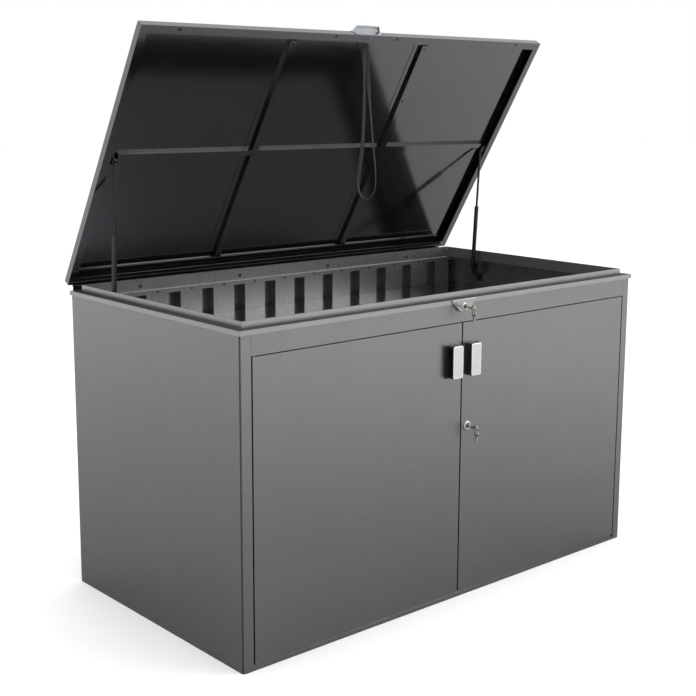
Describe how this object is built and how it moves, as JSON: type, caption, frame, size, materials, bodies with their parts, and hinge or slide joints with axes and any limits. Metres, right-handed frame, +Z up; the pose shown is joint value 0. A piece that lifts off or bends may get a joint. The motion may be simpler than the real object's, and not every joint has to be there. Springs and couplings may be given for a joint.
{
  "type": "deck storage box",
  "caption": "Sheet-steel deck storage box with a gas-strut lid, two front doors, key locks, mirrored pull handles, an inner deck and a strap to pull the lid down.",
  "frame": {"origin": "centre of the footprint, on the floor", "axes": "+X to the right seen from the front, +Y to the rear, +Z up"},
  "size_m": [1.61, 0.9413, 1.7089],
  "materials": {
    "body_paint": "satin powder coat",
    "lid_paint": "glossy powder coat",
    "runner_steel": "galvanised",
    "black_metal": "satin black",
    "rod_steel": "dark nitrided rod",
    "zinc_steel": "zinc plated",
    "dark_rivet": "satin",
    "black_plastic": "fine grain",
    "seal_rubber": "matt",
    "latch_chrome": "bright plated",
    "lock_core_metal": "turned",
    "handle_silver": "satin",
    "key_nickel": "nickel plated",
    "ring_steel": "drawn wire",
    "strap_webbing": "woven webbing"
  },
  "bodies": {
    "cabinet": {"floor_pan": "body_paint", "floor_runners": "runner_steel", "side_panel_left": "body_paint", "side_panel_right": "body_paint", "front_post_left": "body_paint", "front_post_right": "body_paint", "front_sill": "body_paint", "front_fascia": "body_paint", "rear_panel": "body_paint", "rear_rail": "body_paint", "rail_rivets": "dark_rivet", "rim_front": "body_paint", "rim_rear": "body_paint", "rim_left": "body_paint", "rim_right": "body_paint", "curb_plugs": "black_plastic", "lid_seal": "seal_rubber", "inner_deck": "body_paint", "deck_ledges": "body_paint", "lid_lock_cover": "latch_chrome", "lid_lock_barrel": "latch_chrome", "hinge_leaf_body": "black_metal", "hinge_pin": "zinc_steel", "strut_foot_brackets": "black_metal"},
    "lid": {"lid_panel": "lid_paint", "hinge_leaf_lid": "black_metal", "lid_ribs": "lid_paint", "cross_ribs": "lid_paint", "lid_rivets": "dark_rivet", "flange_plugs": "black_plastic", "lid_pull": "latch_chrome", "strut_head_brackets": "black_metal", "strap_anchor": "black_plastic", "lid_strap": "strap_webbing"},
    "strut_tube_left": {"strut_tube_left": "black_metal"},
    "strut_tube_right": {"strut_tube_right": "black_metal"},
    "strut_rod_left": {"strut_rod_left": "rod_steel"},
    "strut_rod_right": {"strut_rod_right": "rod_steel"},
    "door_left": {"door_left": "body_paint", "pivot_pins_left": "zinc_steel", "handle_left": "black_plastic", "handle_cap_left": "handle_silver", "bolt_guides": "zinc_steel"},
    "bolt_upper": {"bolt_upper": "zinc_steel"},
    "bolt_lower": {"bolt_lower": "zinc_steel"},
    "door_right": {"door_right": "body_paint", "pivot_pins_right": "zinc_steel", "handle_right": "black_plastic", "handle_cap_right": "handle_silver", "door_lock_barrel": "latch_chrome"},
    "door_lock": {"door_lock_core": "lock_core_metal", "door_lock_cam": "zinc_steel"},
    "door_key": {"door_key": "key_nickel"},
    "door_key_ring": {"door_key_ring": "ring_steel", "door_key_spare": "key_nickel"},
    "lid_lock": {"lid_lock_core": "lock_core_metal", "lid_lock_hook": "zinc_steel"},
    "lid_key": {"lid_key": "key_nickel"},
    "lid_key_ring": {"lid_key_ring": "ring_steel", "lid_key_spare": "key_nickel"}
  },
  "joints": [
    {"name": "lid_hinge", "type": "hinge", "parent": "cabinet", "child": "lid", "pos_m": [0, 0.4537, 0.926], "axis": [1, 0, 0], "range_deg": [0, 59], "deforming": ["lid_strap"]},
    {"name": "strut_foot_left", "type": "hinge", "parent": "cabinet", "child": "strut_tube_left", "pos_m": [-0.76, 0.249, 0.878], "axis": [1, 0, 0], "range_deg": [0, 75.09]},
    {"name": "strut_slide_left", "type": "slide", "parent": "strut_tube_left", "child": "strut_rod_left", "axis": [0, -0.0566, 0.9984], "range_m": [-0.18555, 0]},
    {"name": "strut_foot_right", "type": "hinge", "parent": "cabinet", "child": "strut_tube_right", "pos_m": [0.76, 0.249, 0.878], "axis": [1, 0, 0], "range_deg": [0, 75.09]},
    {"name": "strut_slide_right", "type": "slide", "parent": "strut_tube_right", "child": "strut_rod_right", "axis": [0, -0.0566, 0.9984], "range_m": [-0.18555, 0]},
    {"name": "door_left_hinge", "type": "hinge", "parent": "cabinet", "child": "door_left", "pos_m": [-0.7514, -0.417, 0.43], "axis": [0, 0, -1], "range_deg": [0, 110]},
    {"name": "bolt_upper_slide", "type": "slide", "parent": "door_left", "child": "bolt_upper", "axis": [0, 0, 1], "range_m": [0, 0.012]},
    {"name": "bolt_lower_slide", "type": "slide", "parent": "door_left", "child": "bolt_lower", "axis": [0, 0, -1], "range_m": [0, 0.012]},
    {"name": "door_right_hinge", "type": "hinge", "parent": "cabinet", "child": "door_right", "pos_m": [0.7544, -0.417, 0.43], "axis": [0, 0, 1], "range_deg": [0, 110]},
    {"name": "door_lock_turn", "type": "hinge", "parent": "door_right", "child": "door_lock", "pos_m": [0.0305, -0.42, 0.53], "axis": [0, 1, 0], "range_deg": [0, 90]},
    {"name": "door_key_slide", "type": "slide", "parent": "door_lock", "child": "door_key", "axis": [0, -1, 0], "range_m": [0, 0.03]},
    {"name": "door_key_ring_swing", "type": "hinge", "parent": "door_key", "child": "door_key_ring", "pos_m": [0.0305, -0.4637, 0.5286], "axis": [1, 0, 0], "range_deg": [-45, 15]},
    {"name": "lid_lock_turn", "type": "hinge", "parent": "cabinet", "child": "lid_lock", "pos_m": [0, -0.42, 0.8945], "axis": [0, 1, 0], "range_deg": [0, 90]},
    {"name": "lid_key_slide", "type": "slide", "parent": "lid_lock", "child": "lid_key", "axis": [0, -1, 0], "range_m": [0, 0.03]},
    {"name": "lid_key_ring_swing", "type": "hinge", "parent": "lid_key", "child": "lid_key_ring", "pos_m": [0, -0.4722, 0.8931], "axis": [1, 0, 0], "range_deg": [-45, 15]}
  ],
  "couplings": [
    {"joint": "strut_foot_left", "follows": "lid_hinge", "ratio": 1.2726},
    {"joint": "strut_slide_left", "follows": "lid_hinge", "m_per_rad": -0.17999},
    {"joint": "strut_foot_right", "follows": "lid_hinge", "ratio": 1.2726},
    {"joint": "strut_slide_right", "follows": "lid_hinge", "m_per_rad": -0.17999}
  ]
}
